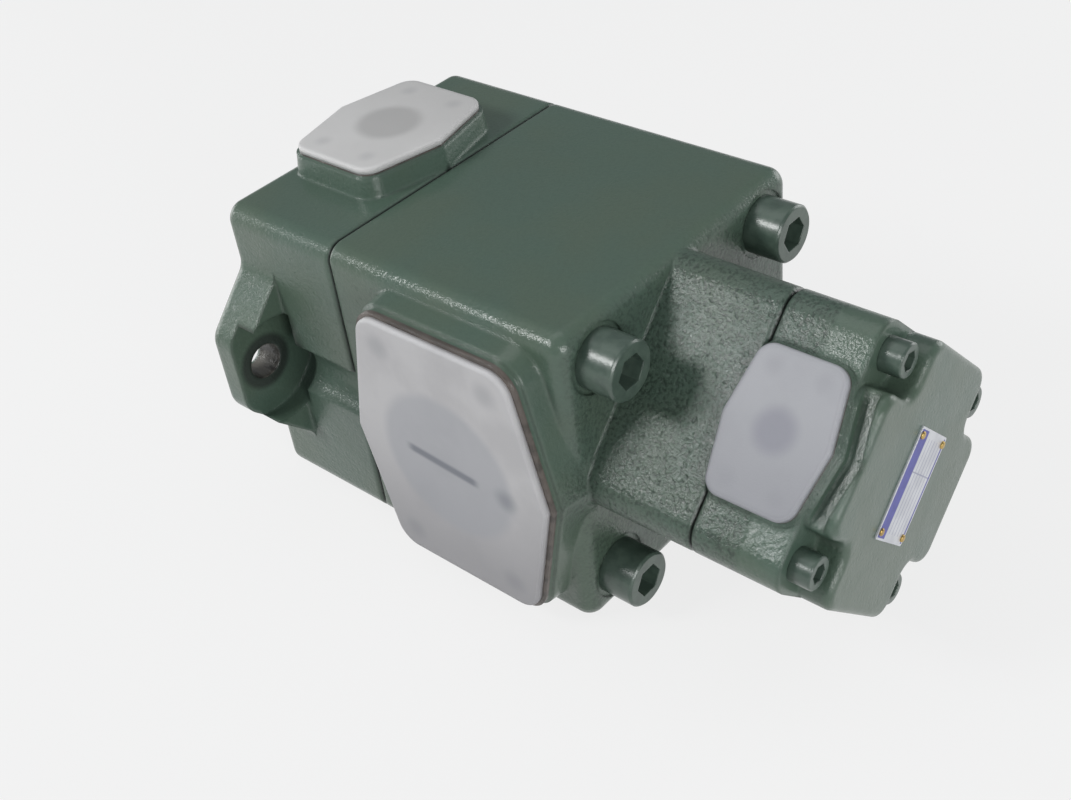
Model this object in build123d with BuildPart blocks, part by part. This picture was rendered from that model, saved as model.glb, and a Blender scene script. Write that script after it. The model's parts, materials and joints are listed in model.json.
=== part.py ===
from build123d import *
import math
import os

os.makedirs("parts", exist_ok=True)

# Tandem hydraulic vane pump: a large and a small balanced vane cartridge on one shaft, with a common
# suction port on the side of the middle body, a discharge port on top of the front body and another
# on the sloping face of the rear body. All three ports carry the plastic covers they ship with.
#
# Frame: X is the shaft axis and runs from the mounting face to the rear cover, Z is up.
# Origin: the shaft axis at the mounting face of the flange. Sizes are in millimetres.

# ------------------------------------------------------------------ body castings
FRONT_LENGTH = 72.0
SHOULDER_LENGTH = 135.0
NECK_LENGTH = 54.0
REAR_LENGTH = 55.5
BODY_WIDTH = 162.0
BODY_TOP = 78.5
BODY_BOTTOM = 79.5
BODY_EDGE = 9.0
FRONT_EDGE = 6.0
SHOULDER_EDGE = 8.0
SEAM_LIP = 1.5
SEAM_ROUND_NEAR = 3.0      # rounding of the upright seam edges on the suction side
SEAM_ROUND_FAR = 9.0       # and on the side away from it
NECK_SIDE = 115.0
NECK_EDGE = 12.0
NECK_ROOT = 12.0        # how deep the neck is rooted behind the shoulder

# ------------------------------------------------------------------ mounting flange, 127 mm pilot, two bolts
PILOT_RADIUS = 63.5
PILOT_HEIGHT = 12.0
EAR_SPACING = 181.0
EAR_HOLE_RADIUS = 8.75
EAR_TIP = 107.5
EAR_TIP_HALF = 20.0
EAR_ROOT_HALF = 47.0
EAR_THICKNESS = 28.0
EAR_SEAT = 16.0
EAR_ROOT_FILLET = 9.0
EAR_TIP_FILLET = 12.0
SCALLOP_RADIUS = 29.0
SCALLOP_END = 31.0
GROOVE_RADIUS = 15.0
GROOVE_OFFSET = 6.0
GROOVE_DROP = 4.0

# ------------------------------------------------------------------ port pads
# The pads are long hexagons: half length, half width in the middle and half width at the ends.
SUCTION_OFFSET = 75.5       # from the front seam to the middle of the port
SUCTION_FACE = 95.0
SUCTION_HALF_LENGTH = 66.0
SUCTION_MID_HALF = 56.5
SUCTION_END_HALF = 42.0
SUCTION_CORNER = 12.0
SUCTION_PORT_RADIUS = 37.5
SUCTION_SPACING_X = 61.9
SUCTION_SPACING_Z = 106.4
SUCTION_PORT_DEPTH = 47.0
SUCTION_LAND_MARGIN = 2.0  # how far the bare land stands outside the cover
SUCTION_THREAD_RADIUS = 7.0
SUCTION_THREAD_DEPTH = 20.0

DISCHARGE_OFFSET = 37.5     # from the middle of the port to the front seam
DISCHARGE_FACE = 90.0
DISCHARGE_HALF_LENGTH = 40.0
DISCHARGE_MID_HALF = 34.0
DISCHARGE_END_HALF = 25.0
DISCHARGE_CORNER = 9.0
DISCHARGE_PORT_RADIUS = 16.0
DISCHARGE_PORT_DEPTH = 55.0
DISCHARGE_SPACING_X = 30.2
DISCHARGE_SPACING_Y = 58.7
DISCHARGE_THREAD_RADIUS = 4.25
DISCHARGE_THREAD_DEPTH = 18.0

SMALL_PORT_OFFSET = 19.7   # from the rear seam to the middle of the port
SMALL_PORT_FACE = 60.0
SMALL_PAD_HALF_LENGTH = 32.2
SMALL_PAD_MID_HALF = 24.5
SMALL_PAD_END_HALF = 19.5
SMALL_PAD_CORNER = 8.0
SMALL_PORT_RADIUS = 9.5
SMALL_SPACING_X = 22.2
SMALL_SPACING_T = 47.6
SMALL_THREAD_RADIUS = 4.25
SMALL_THREAD_DEPTH = 16.0

PAD_STEP = 4.0          # height of the bare machined land above the painted pad
PAD_MARGIN = 1.5        # how far the painted pad stands outside the land
PAD_SINK = 12.0         # how deep a pad is rooted in its body
PAD_DRAFT = 8.0
COVER_THICKNESS = 3.0
COVER_EDGE = 1.2
COVER_SPIGOT_LENGTH = 6.0
COVER_SPIGOT_WALL = 2.0
COVER_CLEARANCE = 0.3

# ------------------------------------------------------------------ rear body
LEDGE_DEPTH = 14.0      # the four screw ledges lie this far ahead of the end face
BOSS_N_ARM_HALF = 30.0
BOSS_T_ARM_HALF = 34.0
BOSS_INNER_FILLET = 8.0
BOSS_OUTER_FILLET = 9.0
END_EDGE = 3.0
CHANNEL_WIDTH = 7.0
CHANNEL_DEPTH = 7.0
CHANNEL_OFFSET = 7.0    # from the cover's edge to the middle of the channel

# ------------------------------------------------------------------ screws, ISO 4762 heads
LARGE_SCREW_RADIUS = 9.0
LARGE_SCREW_POSITION = 58.8
LARGE_SCREW_GRIP = 32.0
LARGE_SPOTFACE_RADIUS = 16.0
LARGE_SPOTFACE_DEPTH = 1.5
SMALL_SCREW_RADIUS = 5.0
SMALL_SCREW_POSITION = 44.2
SMALL_SCREW_GRIP = 20.0
THREAD_FIT = 0.05
SCREW_CLEARANCE = 0.5
SOCKET_RATIO = 0.9       # circumradius of the hexagon socket to the shank's radius

# ------------------------------------------------------------------ shaft line
SHAFT_EXTENSION = 58.7
DRIVE_RADIUS = 15.875
KEY_WIDTH = 7.94
KEY_LENGTH = 38.1
KEY_HEIGHT = 7.94
KEY_DEPTH = 4.0
KEY_END_GAP = 3.0
SHAFT_CHAMFER = 1.5
SEAT_RADIUS = 20.0
COLLAR_RADIUS = 23.0
COLLAR_LENGTH = 3.0
MAIN_RADIUS = 19.0
LARGE_SPLINE_RADIUS = 18.0
MIDDLE_RADIUS = 15.0
WAIST_RADIUS = 14.0
SMALL_SPLINE_RADIUS = 12.0
END_RADIUS = 11.0
SPLINE_TEETH = 10
SPLINE_DEPTH = 1.6
SPLINE_FIT = 0.05
SPLINE_LAND = 0.9        # tooth width as a share of half the tooth pitch
RUNNING_FIT = 0.05
SHAFT_CLEARANCE = 0.5

# ------------------------------------------------------------------ main ball bearing, 40 x 80 x 18
BEARING_RADIUS = 40.0
BEARING_WIDTH = 18.0
BEARING_START = -3.5
BALL_COUNT = 9
BALL_FIT = 0.05
RING_THICKNESS = 2.5
RING_GROOVE = 1.75
SHAFT_RING_THICKNESS = 1.75
SHAFT_RING_GROOVE = 1.25
RING_GAP_ANGLE = 26.0

# ------------------------------------------------------------------ shaft seal
SEAL_RADIUS = 31.0
SEAL_WIDTH = 8.0
SEAL_GAP = 1.0
SEAL_WALL = 1.6
SEAT_FIT = 0.02

# ------------------------------------------------------------------ vane cartridges
LARGE_OUTER = 58.0
LARGE_CAM_WIDTH = 38.0
LARGE_PLATE = 16.0
LARGE_ROTOR = 38.0
LARGE_MINOR = 38.4
LARGE_MAJOR = 42.9
LARGE_VANES = 12
LARGE_VANE_THICKNESS = 2.4
LARGE_VANE_HEIGHT = 12.0
LARGE_UNDERVANE = 2.5
LARGE_PIN_RADIUS = 3.0
LARGE_BOLT_RADIUS = 4.0
LARGE_CAVITY = 65.0
LARGE_WEB = 10.0
LARGE_WEB_RADIUS = 35.0
REAR_CAVITY = 62.0
REAR_CAVITY_WALL = 17.0

SMALL_OUTER = 38.0
SMALL_CAM_WIDTH = 20.0
SMALL_FRONT_PLATE = 12.0
SMALL_REAR_PLATE = 14.0
SMALL_RECESS = 5.0      # how far the small cartridge reaches into the rear body
SMALL_ROTOR = 25.0
SMALL_MINOR = 25.3
SMALL_MAJOR = 28.3
SMALL_VANES = 10
SMALL_VANE_THICKNESS = 1.8
SMALL_VANE_HEIGHT = 8.0
SMALL_UNDERVANE = 1.8
SMALL_PIN_RADIUS = 2.0
SMALL_BOLT_RADIUS = 2.0
SMALL_CAVITY = 43.0
SMALL_WEB = 10.0
SMALL_WEB_RADIUS = 24.0
SMALL_CHAMBER = 33.0
SMALL_CHAMBER_DEPTH = 25.0

VANE_FIT = 0.05
DWELL_HALF_ANGLE = 14.0
KIDNEY_SPAN = 44.0
SUCTION_ANGLE = 45.0    # middle of the rising ramp, where a chamber fills
DISCHARGE_ANGLE = 135.0
PLATE_FIT = 0.05
RAMP_STEPS = 4
NOTCH_DEPTH = 6.0
NOTCH_WIDTH = 0.6         # inlet notch width to the cam's minor radius
GROOVE_HALF = 2.0         # half width and depth of the undervane groove
PIN_GRIP = 6.0
HEAD_SINK = 2.1           # depth of a cartridge bolt's counterbore to its radius
VANE_TIP = 0.4            # tip fillet to the vane's thickness
CHAMBER_OUTER = 52.0
CHAMBER_HUB = 30.0
CHAMBER_DEPTH = 22.0

BUSH_WALL = 3.0
REAR_BUSH_WALL = 4.0
REAR_BUSH_LENGTH = 16.0
ORING_RADIUS = 1.5
FRONT_ORING = 68.5
REAR_ORING = 47.0
PLATE_ORING = 55.0
PLATE_SEAL_RADIUS = 1.2

# ------------------------------------------------------------------ nameplate
PLATE_N = 31.0
PLATE_T = 49.0
PLATE_THICKNESS = 0.8
RIVET_N = 25.8
RIVET_T = 42.0
RIVET_RADIUS = 1.0
RIVET_HEAD = 1.7
RIVET_LENGTH = 4.0

# ------------------------------------------------------------------ places that follow from the sizes
SEAM_FRONT = FRONT_LENGTH
SHOULDER_X = SEAM_FRONT + SHOULDER_LENGTH
SEAM_REAR = SHOULDER_X + NECK_LENGTH
END_X = SEAM_REAR + REAR_LENGTH
LEDGE_X = END_X - LEDGE_DEPTH
LARGE_SEAT_X = SHOULDER_X - LARGE_SPOTFACE_DEPTH
LARGE_CAM_END = SEAM_FRONT + LARGE_CAM_WIDTH
LARGE_REAR_END = LARGE_CAM_END + LARGE_PLATE
SMALL_REAR_START = SEAM_REAR + SMALL_RECESS - SMALL_REAR_PLATE
SMALL_CAM_START = SMALL_REAR_START - SMALL_CAM_WIDTH
SMALL_FRONT_START = SMALL_CAM_START - SMALL_FRONT_PLATE
BEARING_END = BEARING_START + BEARING_WIDTH
BEARING_WALL = BEARING_RADIUS - SEAT_RADIUS
BALL_PITCH = SEAT_RADIUS + BEARING_WALL / 2
BALL_RADIUS = 0.3 * BEARING_WALL
RACE_INNER = BALL_PITCH - 0.2 * BEARING_WALL
RACE_OUTER = BALL_PITCH + 0.2 * BEARING_WALL
CAGE_THICKNESS = 0.12 * BEARING_WALL
CAGE_WIDTH = 0.8 * BEARING_WIDTH
SEAL_START = BEARING_END + COLLAR_LENGTH + SEAL_GAP
SEAL_END = SEAL_START + SEAL_WIDTH
CHAMBER_START = SEAM_FRONT - LARGE_PLATE - CHAMBER_DEPTH
REAR_BUSH_START = SEAM_REAR + SMALL_RECESS + SMALL_CHAMBER_DEPTH
REAR_BUSH_END = REAR_BUSH_START + REAR_BUSH_LENGTH
BODY_MIDDLE = (BODY_TOP - BODY_BOTTOM) / 2
SUCTION_X = SEAM_FRONT + SUCTION_OFFSET
DISCHARGE_X = SEAM_FRONT - DISCHARGE_OFFSET
SMALL_PORT_X = SEAM_REAR + SMALL_PORT_OFFSET
HALF_ROOT = math.sqrt(0.5)
CORNERS = [(-1, -1), (-1, 1), (1, -1), (1, 1)]

SUCTION_PLANE = Plane(origin=(SUCTION_X, 0, 0), x_dir=(1, 0, 0), z_dir=(0, -1, 0))
DISCHARGE_PLANE = Plane(origin=(DISCHARGE_X, 0, 0), x_dir=(1, 0, 0), z_dir=(0, 0, 1))
SMALL_PORT_PLANE = Plane(origin=(SMALL_PORT_X, 0, 0), x_dir=(1, 0, 0), z_dir=(0, -HALF_ROOT, HALF_ROOT))


def across(x):
    """Plane square to the shaft at a station: local x is Y and local y is Z."""
    return Plane.YZ.offset(x)


def tilted(x):
    """Plane square to the shaft, turned so that local y points out of the small discharge port."""
    return Plane(origin=(x, 0, 0), x_dir=(0, HALF_ROOT, HALF_ROOT), z_dir=(1, 0, 0))


def finish(piece, name):
    """Labels a finished sub-part and writes its STEP file."""
    piece.part.label = name
    export_step(piece.part, f"parts/{name}.step")


def pad_outline(plane, half_length, mid_half, end_half, corner, grow=0.0):
    """Long hexagonal outline of a port pad, grown evenly all round."""
    with BuildSketch(plane) as outline:
        Polygon(
            (mid_half, 0),
            (end_half, half_length),
            (-end_half, half_length),
            (-mid_half, 0),
            (-end_half, -half_length),
            (end_half, -half_length),
            align=None,
        )
        fillet(outline.vertices().group_by(Axis.Y)[0], corner)
        fillet(outline.vertices().group_by(Axis.Y)[-1], corner)
        if grow:
            offset(amount=grow)
    return outline.sketch


def block_outline(x):
    """Rounded rectangle of the front and middle bodies at a station."""
    with BuildSketch(across(x)) as outline:
        with Locations((0, BODY_MIDDLE)):
            RectangleRounded(BODY_WIDTH, BODY_TOP + BODY_BOTTOM, BODY_EDGE)
    return outline.sketch


def seam_plan(seam, length):
    """Cuts a block to its outline seen from above, which rounds the upright edges at the seam.

    length is signed: the block reaches from the seam towards it."""
    with BuildSketch(Plane.XY.offset(-2 * BODY_BOTTOM)) as plan:
        with Locations((seam + length / 2, 0)):
            Rectangle(abs(length), BODY_WIDTH)
        at_seam = plan.vertices().filter_by(lambda v: math.isclose(v.X, seam))
        fillet(at_seam.filter_by(lambda v: v.Y < 0), SEAM_ROUND_NEAR)
        fillet(at_seam.filter_by(lambda v: v.Y > 0), SEAM_ROUND_FAR)
    extrude(plan.sketch, amount=4 * BODY_BOTTOM, mode=Mode.INTERSECT)


def neck_outline(x):
    """Square set on its corner, with rounded corners, of the neck and the rear body at a station."""
    with BuildSketch(tilted(x)) as outline:
        RectangleRounded(NECK_SIDE, NECK_SIDE, NECK_EDGE)
    return outline.sketch


def screw_places(position):
    """Sketch points of four screws on a square pattern."""
    return [(y * position, z * position) for y, z in CORNERS]


def bore(start, end, radius):
    """Cuts a round bore about the shaft axis in the sub-part being made."""
    with BuildSketch(across(start)) as disc:
        Circle(radius)
    extrude(disc.sketch, amount=end - start, mode=Mode.SUBTRACT)


def ring_cut(start, end, outer, inner):
    """Cuts a ring-shaped recess about the shaft axis in the sub-part being made."""
    with BuildSketch(across(start)) as ring:
        Circle(outer)
        Circle(inner, mode=Mode.SUBTRACT)
    extrude(ring.sketch, amount=end - start, mode=Mode.SUBTRACT)


# ================================================================== front body
with BuildPart() as front_block:
    # the block behind the flange, with its rounded seam edges
    extrude(block_outline(EAR_THICKNESS), amount=FRONT_LENGTH - EAR_THICKNESS)
    chamfer(front_block.faces().sort_by(Axis.X)[-1].edges(), SEAM_LIP)
    seam_plan(SEAM_FRONT, EAR_THICKNESS - FRONT_LENGTH)

with BuildPart() as front_body:
    # flange outline: the block with a bolt ear on each side
    with BuildSketch(across(0)) as flange:
        with Locations((0, BODY_MIDDLE)):
            RectangleRounded(BODY_WIDTH, BODY_TOP + BODY_BOTTOM, BODY_EDGE)
        with BuildLine():
            Polyline(
                (0, EAR_ROOT_HALF),
                (BODY_WIDTH / 2, EAR_ROOT_HALF),
                (EAR_TIP, EAR_TIP_HALF),
                (EAR_TIP, -EAR_TIP_HALF),
                (BODY_WIDTH / 2, -EAR_ROOT_HALF),
                (0, -EAR_ROOT_HALF),
                close=True,
            )
        make_face()
        mirror(about=Plane.YZ)
        fillet(flange.vertices().filter_by(lambda v: math.isclose(abs(v.X), EAR_TIP)), EAR_TIP_FILLET)
        fillet(flange.vertices().filter_by(lambda v: math.isclose(abs(v.Y), EAR_ROOT_HALF)), EAR_ROOT_FILLET)
    extrude(amount=EAR_THICKNESS)
    fillet(front_body.faces().sort_by(Axis.X)[0].edges(), FRONT_EDGE)

    # the rest of the block, and the round pilot on its mounting face
    add(front_block.part)
    with BuildSketch(across(0)):
        Circle(PILOT_RADIUS)
    extrude(amount=-PILOT_HEIGHT)
    chamfer(front_body.faces().sort_by(Axis.X)[0].edges(), SEAM_LIP)

    # each ear is thinned round its bolt by a scallop that runs on into a tool groove
    for side in (-1, 1):
        with BuildSketch(across(EAR_SEAT)):
            with Locations((side * EAR_SPACING / 2, 0)):
                Circle(SCALLOP_RADIUS)
        extrude(amount=SCALLOP_END - EAR_SEAT, mode=Mode.SUBTRACT)
        with BuildSketch(across(EAR_SEAT)):
            with Locations((side * (BODY_WIDTH / 2 + GROOVE_OFFSET), -GROOVE_DROP)):
                Circle(GROOVE_RADIUS)
        extrude(amount=FRONT_LENGTH - EAR_SEAT, mode=Mode.SUBTRACT)
        with BuildSketch(across(0)):
            with Locations((side * EAR_SPACING / 2, 0)):
                Circle(EAR_HOLE_RADIUS)
        extrude(amount=EAR_THICKNESS, mode=Mode.SUBTRACT)

    # large discharge pad on top
    painted = DISCHARGE_FACE - PAD_STEP / 4
    outline = pad_outline(DISCHARGE_PLANE.offset(painted), DISCHARGE_HALF_LENGTH, DISCHARGE_MID_HALF,
                          DISCHARGE_END_HALF, DISCHARGE_CORNER, PAD_MARGIN)
    extrude(outline, amount=painted - BODY_TOP + PAD_SINK, dir=(0, 0, -1), taper=-PAD_DRAFT)
    outline = pad_outline(DISCHARGE_PLANE.offset(DISCHARGE_FACE), DISCHARGE_HALF_LENGTH, DISCHARGE_MID_HALF,
                          DISCHARGE_END_HALF, DISCHARGE_CORNER)
    extrude(outline, amount=-PAD_STEP)
    split(bisect_by=across(SEAM_FRONT), keep=Keep.BOTTOM)


    # pressure chamber behind the large front side plate, and its way up to the port
    ring_cut(CHAMBER_START, SEAM_FRONT - LARGE_PLATE, CHAMBER_OUTER, CHAMBER_HUB)
    bore(SEAM_FRONT - LARGE_PLATE, SEAM_FRONT, LARGE_OUTER + PLATE_FIT)
    with BuildSketch(DISCHARGE_PLANE.offset(DISCHARGE_FACE)):
        Circle(DISCHARGE_PORT_RADIUS)
    extrude(amount=-DISCHARGE_PORT_DEPTH, mode=Mode.SUBTRACT)
    with BuildSketch(DISCHARGE_PLANE.offset(DISCHARGE_FACE)):
        with GridLocations(DISCHARGE_SPACING_X, DISCHARGE_SPACING_Y, 2, 2):
            Circle(DISCHARGE_THREAD_RADIUS)
    extrude(amount=-DISCHARGE_THREAD_DEPTH, mode=Mode.SUBTRACT)

    # stepped bore from the mounting face: retaining ring, bearing, shaft seal, shaft clearance
    bore(-PILOT_HEIGHT, BEARING_END, BEARING_RADIUS + SEAT_FIT)
    bore(BEARING_START - RING_THICKNESS - SEAT_FIT, BEARING_START, BEARING_RADIUS + RING_GROOVE)
    bore(BEARING_END, SEAL_END, SEAL_RADIUS + SEAT_FIT)
    bore(SEAL_END, SEAM_FRONT, MAIN_RADIUS + SHAFT_CLEARANCE)

    # tapped holes for the four large screws
    with BuildSketch(across(FRONT_LENGTH)):
        with Locations(*screw_places(LARGE_SCREW_POSITION)):
            Circle(LARGE_SCREW_RADIUS + THREAD_FIT)
    extrude(amount=-LARGE_SCREW_GRIP - SCREW_CLEARANCE, mode=Mode.SUBTRACT)
finish(front_body, "front_body")

# ================================================================== middle body
with BuildPart() as middle_body:
    # square block with a rounded shoulder, and the neck set on its corner behind it
    extrude(block_outline(SEAM_FRONT), amount=SHOULDER_LENGTH)
    fillet(middle_body.faces().sort_by(Axis.X)[-1].edges(), SHOULDER_EDGE)
    chamfer(middle_body.faces().sort_by(Axis.X)[0].edges(), SEAM_LIP)
    seam_plan(SEAM_FRONT, SHOULDER_LENGTH)
    extrude(neck_outline(SHOULDER_X - NECK_ROOT), amount=NECK_ROOT + NECK_LENGTH)
    chamfer(middle_body.faces().sort_by(Axis.X)[-1].edges(), SEAM_LIP)

    # suction pad on the side
    painted = SUCTION_FACE - PAD_STEP
    outline = pad_outline(SUCTION_PLANE.offset(painted), SUCTION_HALF_LENGTH, SUCTION_MID_HALF,
                          SUCTION_END_HALF, SUCTION_CORNER, SUCTION_LAND_MARGIN + PAD_MARGIN)
    extrude(outline, amount=painted - BODY_WIDTH / 2 + PAD_SINK, dir=(0, 1, 0), taper=-PAD_DRAFT)
    outline = pad_outline(SUCTION_PLANE.offset(SUCTION_FACE), SUCTION_HALF_LENGTH, SUCTION_MID_HALF,
                          SUCTION_END_HALF, SUCTION_CORNER, SUCTION_LAND_MARGIN)
    extrude(outline, amount=-PAD_STEP)

    # cartridge bay, web, suction gallery, small web and small cartridge bay
    bore(SEAM_FRONT, LARGE_REAR_END, LARGE_CAVITY)
    bore(LARGE_REAR_END, LARGE_REAR_END + LARGE_WEB, LARGE_WEB_RADIUS)
    bore(LARGE_REAR_END + LARGE_WEB, SHOULDER_X - REAR_CAVITY_WALL, REAR_CAVITY)
    bore(SHOULDER_X - REAR_CAVITY_WALL, SMALL_FRONT_START - SMALL_WEB, SMALL_CAVITY)
    bore(SMALL_FRONT_START - SMALL_WEB, SMALL_FRONT_START, SMALL_WEB_RADIUS)
    bore(SMALL_FRONT_START, SEAM_REAR, SMALL_CAVITY)

    # suction port and its flange holes
    with BuildSketch(SUCTION_PLANE.offset(SUCTION_FACE)):
        Circle(SUCTION_PORT_RADIUS)
    extrude(amount=-SUCTION_PORT_DEPTH, mode=Mode.SUBTRACT)
    with BuildSketch(SUCTION_PLANE.offset(SUCTION_FACE)):
        with GridLocations(SUCTION_SPACING_X, SUCTION_SPACING_Z, 2, 2):
            Circle(SUCTION_THREAD_RADIUS)
    extrude(amount=-SUCTION_THREAD_DEPTH, mode=Mode.SUBTRACT)

    # clearance holes and spotfaces of the large screws, tapped holes of the small ones
    with BuildSketch(across(SEAM_FRONT)):
        with Locations(*screw_places(LARGE_SCREW_POSITION)):
            Circle(LARGE_SCREW_RADIUS + SCREW_CLEARANCE)
    extrude(amount=SHOULDER_LENGTH, mode=Mode.SUBTRACT)
    with BuildSketch(across(LARGE_SEAT_X)):
        with Locations(*screw_places(LARGE_SCREW_POSITION)):
            Circle(LARGE_SPOTFACE_RADIUS)
    extrude(amount=NECK_LENGTH / 2, mode=Mode.SUBTRACT)
    with BuildSketch(tilted(SEAM_REAR)):
        with Locations(*screw_places(SMALL_SCREW_POSITION)):
            Circle(SMALL_SCREW_RADIUS + THREAD_FIT)
    extrude(amount=-SMALL_SCREW_GRIP - SCREW_CLEARANCE, mode=Mode.SUBTRACT)

    # grooves of the two seam seals
    groove = 2 * ORING_RADIUS
    ring_cut(SEAM_FRONT, SEAM_FRONT + groove, FRONT_ORING + ORING_RADIUS, FRONT_ORING - ORING_RADIUS)
    ring_cut(SEAM_REAR - groove, SEAM_REAR, REAR_ORING + ORING_RADIUS, REAR_ORING - ORING_RADIUS)
finish(middle_body, "middle_body")

# ================================================================== rear body
with BuildPart() as rear_body:
    # tilted block up to the screw ledges, and the cross-shaped end boss between them
    extrude(neck_outline(SEAM_REAR), amount=LEDGE_X - SEAM_REAR)
    chamfer(rear_body.faces().sort_by(Axis.X)[0].edges(), SEAM_LIP)
    with BuildSketch(tilted(LEDGE_X)) as boss:
        Rectangle(NECK_SIDE, 2 * BOSS_T_ARM_HALF)
        Rectangle(2 * BOSS_N_ARM_HALF, NECK_SIDE)
        inner = boss.vertices().sort_by(lambda v: abs(v.X) + abs(v.Y))[:4]
        fillet(inner, BOSS_INNER_FILLET)
        outer = boss.vertices().filter_by(
            lambda v: math.isclose(max(abs(v.X), abs(v.Y)), NECK_SIDE / 2, abs_tol=0.01)
        )
        fillet(outer, BOSS_OUTER_FILLET)
    extrude(amount=LEDGE_DEPTH)
    fillet(rear_body.faces().sort_by(Axis.X)[-1].edges(), END_EDGE)

    # small discharge pad, parted from the end boss by a channel
    painted = SMALL_PORT_FACE - PAD_STEP / 4
    outline = pad_outline(SMALL_PORT_PLANE.offset(painted), SMALL_PAD_HALF_LENGTH, SMALL_PAD_MID_HALF,
                          SMALL_PAD_END_HALF, SMALL_PAD_CORNER, PAD_MARGIN)
    extrude(outline, amount=-PAD_SINK)
    outline = pad_outline(SMALL_PORT_PLANE.offset(SMALL_PORT_FACE), SMALL_PAD_HALF_LENGTH, SMALL_PAD_MID_HALF,
                          SMALL_PAD_END_HALF, SMALL_PAD_CORNER)
    extrude(outline, amount=-PAD_STEP)
    split(bisect_by=across(SEAM_REAR), keep=Keep.TOP)
    with BuildSketch(SMALL_PORT_PLANE.offset(SMALL_PORT_FACE - CHANNEL_DEPTH)):
        with BuildLine() as channel:
            Polyline(
                (SMALL_PAD_END_HALF + CHANNEL_OFFSET, 2 * SMALL_PAD_HALF_LENGTH),
                (SMALL_PAD_END_HALF + CHANNEL_OFFSET, SMALL_PAD_HALF_LENGTH),
                (SMALL_PAD_MID_HALF + CHANNEL_OFFSET, 0),
                (SMALL_PAD_END_HALF + CHANNEL_OFFSET, -SMALL_PAD_HALF_LENGTH),
                (SMALL_PAD_END_HALF + CHANNEL_OFFSET, -2 * SMALL_PAD_HALF_LENGTH),
            )
        trace(channel.line, line_width=CHANNEL_WIDTH)
    extrude(amount=2 * CHANNEL_DEPTH, mode=Mode.SUBTRACT)

    # recess for the small cartridge, pressure chamber, bush seat and the way out to the port
    bore(SEAM_REAR, SEAM_REAR + SMALL_RECESS, SMALL_OUTER + PLATE_FIT)
    bore(SEAM_REAR + SMALL_RECESS, REAR_BUSH_START, SMALL_CHAMBER)
    bore(REAR_BUSH_START, REAR_BUSH_END, END_RADIUS + RUNNING_FIT + REAR_BUSH_WALL + SEAT_FIT)
    with BuildSketch(SMALL_PORT_PLANE.offset(SMALL_PORT_FACE)):
        Circle(SMALL_PORT_RADIUS)
    extrude(amount=SMALL_CHAMBER / 2 - SMALL_PORT_FACE, mode=Mode.SUBTRACT)
    with BuildSketch(SMALL_PORT_PLANE.offset(SMALL_PORT_FACE)):
        with GridLocations(SMALL_SPACING_X, SMALL_SPACING_T, 2, 2):
            Circle(SMALL_THREAD_RADIUS)
    extrude(amount=-SMALL_THREAD_DEPTH, mode=Mode.SUBTRACT)

    # clearance holes of the small screws and the rivet holes of the nameplate
    with BuildSketch(tilted(SEAM_REAR)):
        with Locations(*screw_places(SMALL_SCREW_POSITION)):
            Circle(SMALL_SCREW_RADIUS + SCREW_CLEARANCE)
    extrude(amount=REAR_LENGTH, mode=Mode.SUBTRACT)
    with BuildSketch(tilted(END_X)):
        with GridLocations(RIVET_T, RIVET_N, 2, 2):
            Circle(RIVET_RADIUS + SEAT_FIT)
    extrude(amount=-RIVET_LENGTH, mode=Mode.SUBTRACT)
finish(rear_body, "rear_body")


# ================================================================== screws
def socket_screw(x, radius, grip_end, plane, position):
    """Four socket-head cap screws with heads seated at x and shanks reaching to grip_end."""
    head_radius = 1.5 * radius
    with BuildPart() as screws:
        with BuildSketch(plane(x)):
            with Locations(*screw_places(position)):
                Circle(head_radius)
        extrude(amount=2 * radius)
        chamfer(screws.faces().filter_by(Axis.X).group_by(Axis.X)[-1].edges(), radius / 9)
        with BuildSketch(plane(x + 2 * radius)):
            with Locations(*screw_places(position)):
                RegularPolygon(SOCKET_RATIO * radius, 6)
        extrude(amount=-radius, mode=Mode.SUBTRACT)
        with BuildSketch(plane(x)):
            with Locations(*screw_places(position)):
                Circle(radius)
        extrude(amount=grip_end - x)
    return screws


large_body_screws = socket_screw(
    LARGE_SEAT_X, LARGE_SCREW_RADIUS, SEAM_FRONT - LARGE_SCREW_GRIP, across, LARGE_SCREW_POSITION
)
finish(large_body_screws, "large_body_screws")
small_body_screws = socket_screw(
    LEDGE_X, SMALL_SCREW_RADIUS, SEAM_REAR - SMALL_SCREW_GRIP, tilted, SMALL_SCREW_POSITION
)
finish(small_body_screws, "small_body_screws")


# ================================================================== port covers
def port_cover(plane, face, half_length, mid_half, end_half, corner, port_radius):
    """Plastic transit cover: a plate with the pad's outline and a hollow spigot that plugs the port."""
    with BuildPart() as cover:
        outline = pad_outline(plane.offset(face), half_length, mid_half, end_half, corner)
        extrude(outline, amount=COVER_THICKNESS)
        normal = Axis(plane.origin, plane.z_dir)
        top = cover.faces().filter_by(normal).sort_by(normal)[-1]
        fillet(top.edges(), COVER_EDGE)
        with BuildSketch(plane.offset(face)):
            Circle(port_radius - COVER_CLEARANCE)
            Circle(port_radius - COVER_CLEARANCE - COVER_SPIGOT_WALL, mode=Mode.SUBTRACT)
        extrude(amount=-COVER_SPIGOT_LENGTH)
    return cover


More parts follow.
